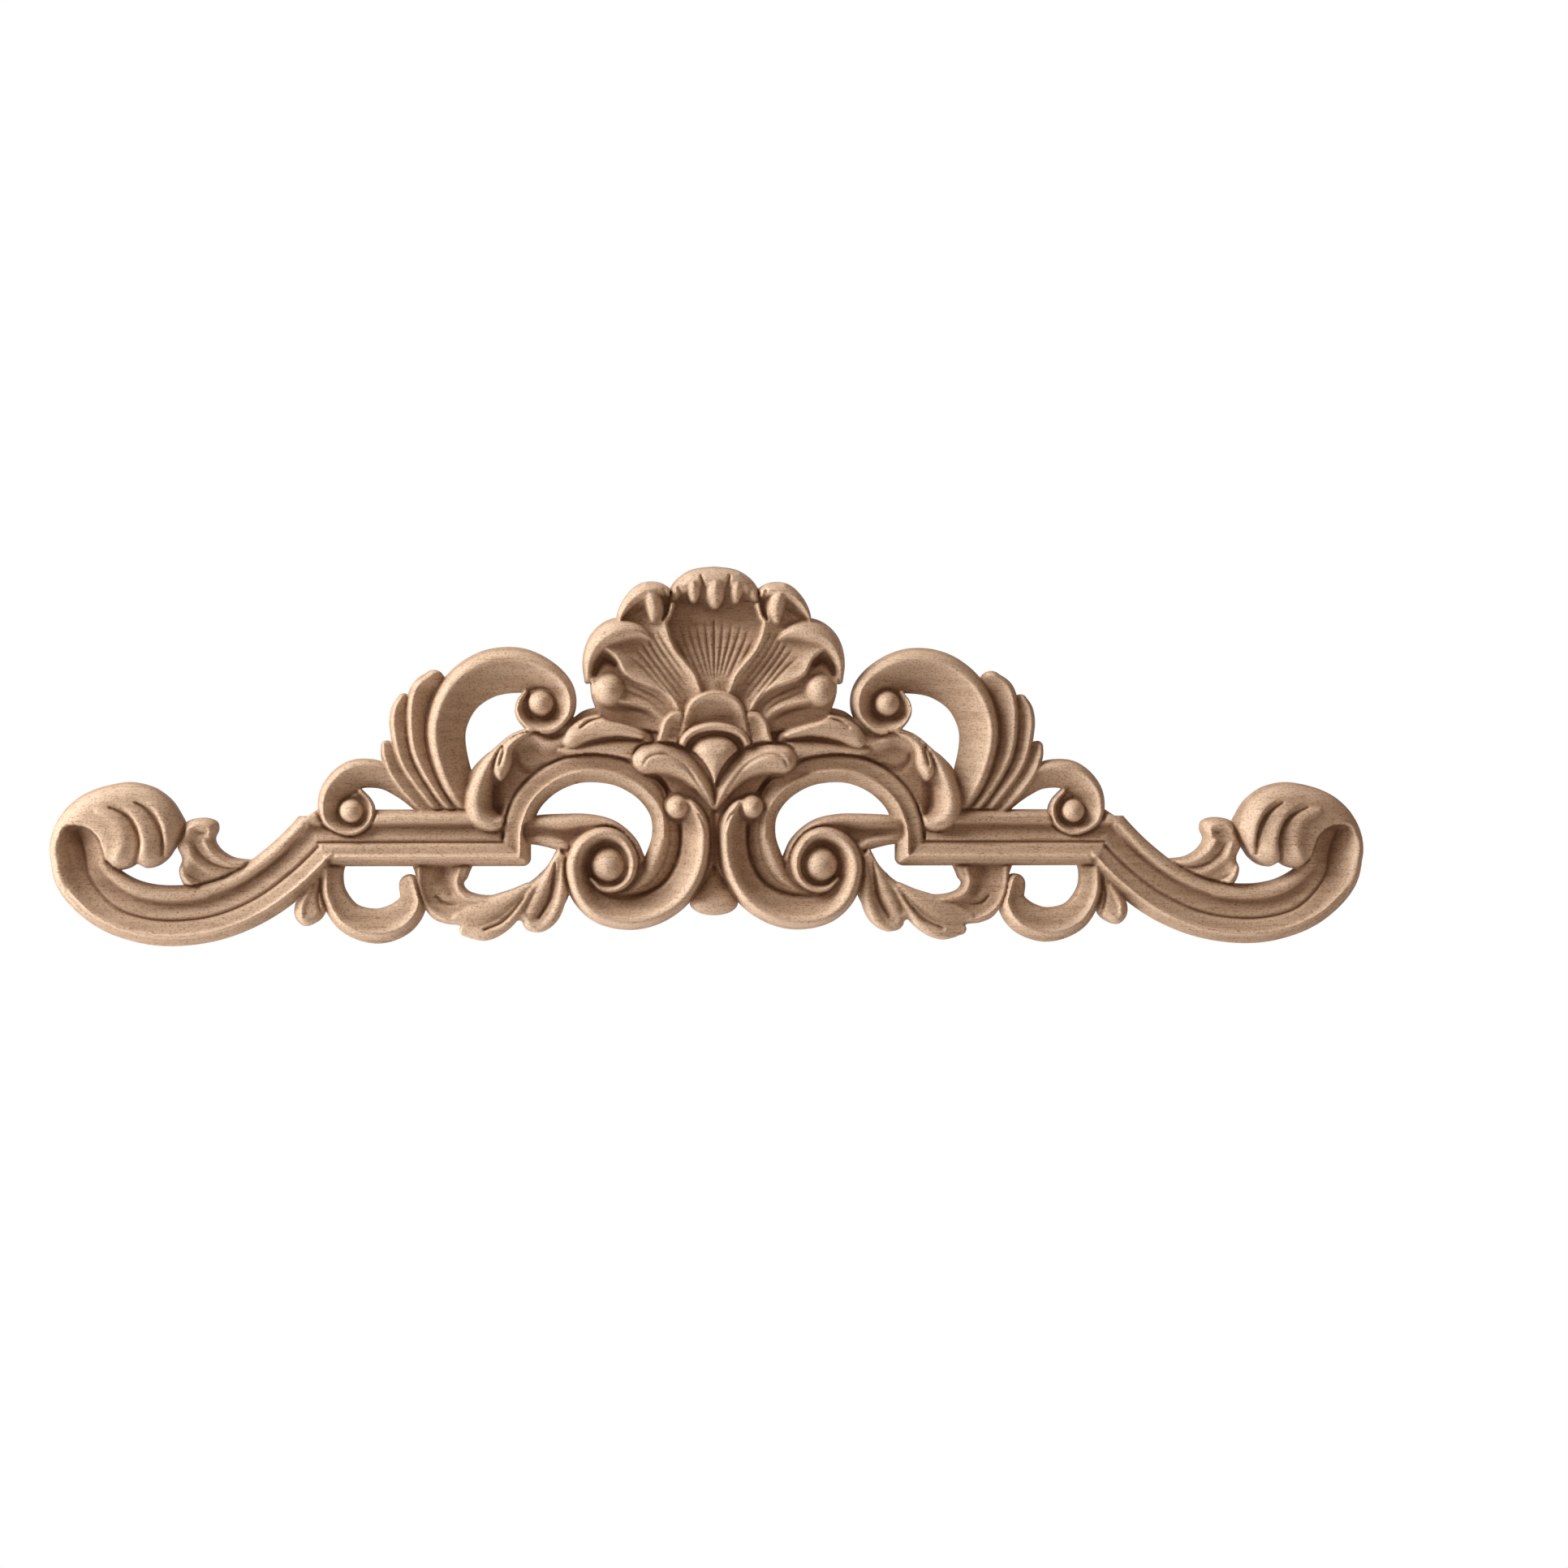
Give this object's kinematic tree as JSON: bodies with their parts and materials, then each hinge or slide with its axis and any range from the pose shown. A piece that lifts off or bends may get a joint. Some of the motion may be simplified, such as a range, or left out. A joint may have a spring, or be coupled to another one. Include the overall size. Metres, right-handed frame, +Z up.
{
  "type": "carved wooden pediment onlay",
  "caption": "Carved wooden pediment applique with a scallop shell over scrolls, acanthus leaves and a moulded bar, flat at the back for gluing on.",
  "frame": {"origin": "on the flat back face, on the centre line between the two large lower scrolls", "axes": "+X along the onlay to the viewer's right, +Z up, +Y into the wall or door it is fixed to, so the carved face looks towards -Y"},
  "size_m": [0.4508, 0.016, 0.1301],
  "materials": {
    "raw_wood": "unfinished, sanded"
  },
  "bodies": {
    "root": {"carved_onlay": "raw_wood"}
  },
  "joints": []
}
